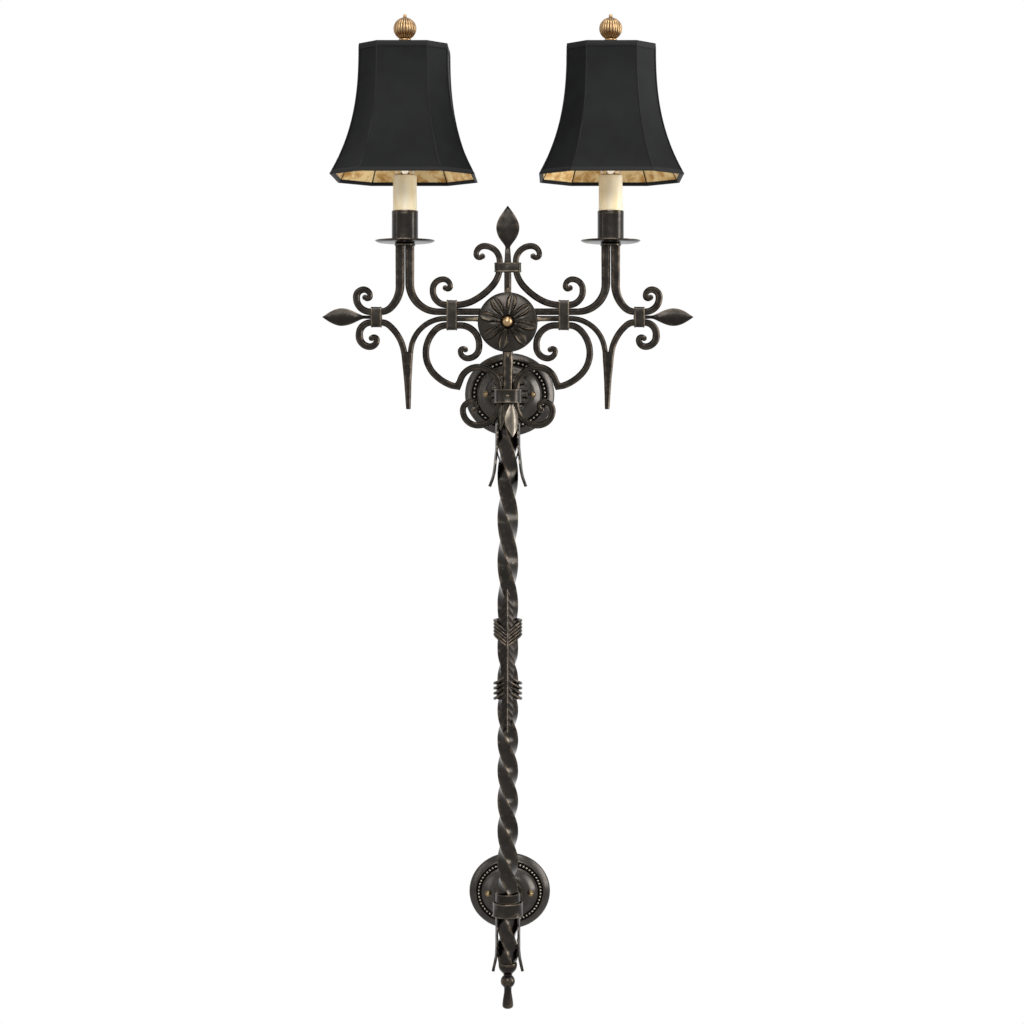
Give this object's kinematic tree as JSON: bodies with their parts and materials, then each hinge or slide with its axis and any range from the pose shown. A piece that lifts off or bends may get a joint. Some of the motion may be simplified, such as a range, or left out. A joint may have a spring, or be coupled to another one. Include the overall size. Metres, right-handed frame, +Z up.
{
  "type": "torch sconce",
  "caption": "Scrolled wrought iron wall light on a twisted shaft, with shaded candle lamps on bent arms, held by a domed plate at each end.",
  "frame": {"origin": "centre of the upper crossbar's back face, on the wall plane, at the upper electrical box", "axes": "+X to the right as seen from the room, +Y into the wall, +Z up; the object stands out towards -Y"},
  "size_m": [0.4834, 0.202, 1.2955],
  "materials": {
    "iron": "dark oil-rubbed bronze lacquer on forged iron",
    "brass": "antique brass, rubbed",
    "zinc_steel": "zinc plated",
    "candle": "cream candle sleeve with wax drips",
    "lampholder": "black moulded",
    "lamp_glass": "clear blown glass",
    "shade_fabric": "black cloth on card, gold foil inside"
  },
  "bodies": {
    "root": {"upper_wall_plate": "iron", "lower_wall_plate": "iron", "upper_arm": "iron", "lower_arm": "iron", "upper_clamp": "iron", "lower_band": "iron", "shaft": "iron", "centre_bar": "iron", "top_spear": "iron", "left_spear": "iron", "right_spear": "iron", "left_top_scroll": "iron", "right_top_scroll": "iron", "left_outer_arm": "iron", "right_outer_arm": "iron", "left_inner_arm": "iron", "right_inner_arm": "iron", "left_lower_bar": "iron", "right_lower_bar": "iron", "left_inner_bar": "iron", "right_inner_bar": "iron", "left_c_scroll": "iron", "right_c_scroll": "iron", "left_s_scroll": "iron", "right_s_scroll": "iron", "top_collar": "iron", "side_collars": "iron", "middle_collars": "iron", "rosette": "iron", "rosette_leaf": "iron", "upper_side_leaves": "iron", "lower_side_leaves": "iron", "front_leaf": "iron", "reeded_bands": "iron", "bottom_finial": "iron", "left_drip_pan": "iron", "right_drip_pan": "iron", "left_candle_cup": "iron", "right_candle_cup": "iron", "upper_crossbar": "zinc_steel", "lower_crossbar": "zinc_steel", "upper_fasteners": "zinc_steel", "lower_fasteners": "zinc_steel", "upper_cap_nuts": "brass", "lower_cap_nuts": "brass", "rosette_ball": "brass", "left_sleeve": "candle", "left_lampholder": "lampholder", "right_sleeve": "candle", "right_lampholder": "lampholder"},
    "left_lamp": {"left_lamp_base": "brass", "left_lamp_glass": "lamp_glass"},
    "left_shade_body": {"left_shade_carrier": "brass", "left_shade": "shade_fabric"},
    "left_finial_body": {"left_finial": "brass"},
    "right_lamp": {"right_lamp_base": "brass", "right_lamp_glass": "lamp_glass"},
    "right_shade_body": {"right_shade_carrier": "brass", "right_shade": "shade_fabric"},
    "right_finial_body": {"right_finial": "brass"}
  },
  "joints": [
    {"name": "left_lamp_turn", "type": "hinge", "parent": "root", "child": "left_lamp", "pos_m": [-0.134, -0.11, 0.27], "axis": [0, 0, 1], "continuous": true},
    {"name": "left_shade_turn", "type": "hinge", "parent": "left_lamp", "child": "left_shade_body", "pos_m": [-0.134, -0.11, 0.363], "axis": [0, 0, 1], "continuous": true},
    {"name": "left_finial_turn", "type": "hinge", "parent": "left_shade_body", "child": "left_finial_body", "pos_m": [-0.134, -0.11, 0.458], "axis": [0, 0, 1], "continuous": true},
    {"name": "right_lamp_turn", "type": "hinge", "parent": "root", "child": "right_lamp", "pos_m": [0.134, -0.11, 0.27], "axis": [0, 0, 1], "continuous": true},
    {"name": "right_shade_turn", "type": "hinge", "parent": "right_lamp", "child": "right_shade_body", "pos_m": [0.134, -0.11, 0.363], "axis": [0, 0, 1], "continuous": true},
    {"name": "right_finial_turn", "type": "hinge", "parent": "right_shade_body", "child": "right_finial_body", "pos_m": [0.134, -0.11, 0.458], "axis": [0, 0, 1], "continuous": true}
  ]
}
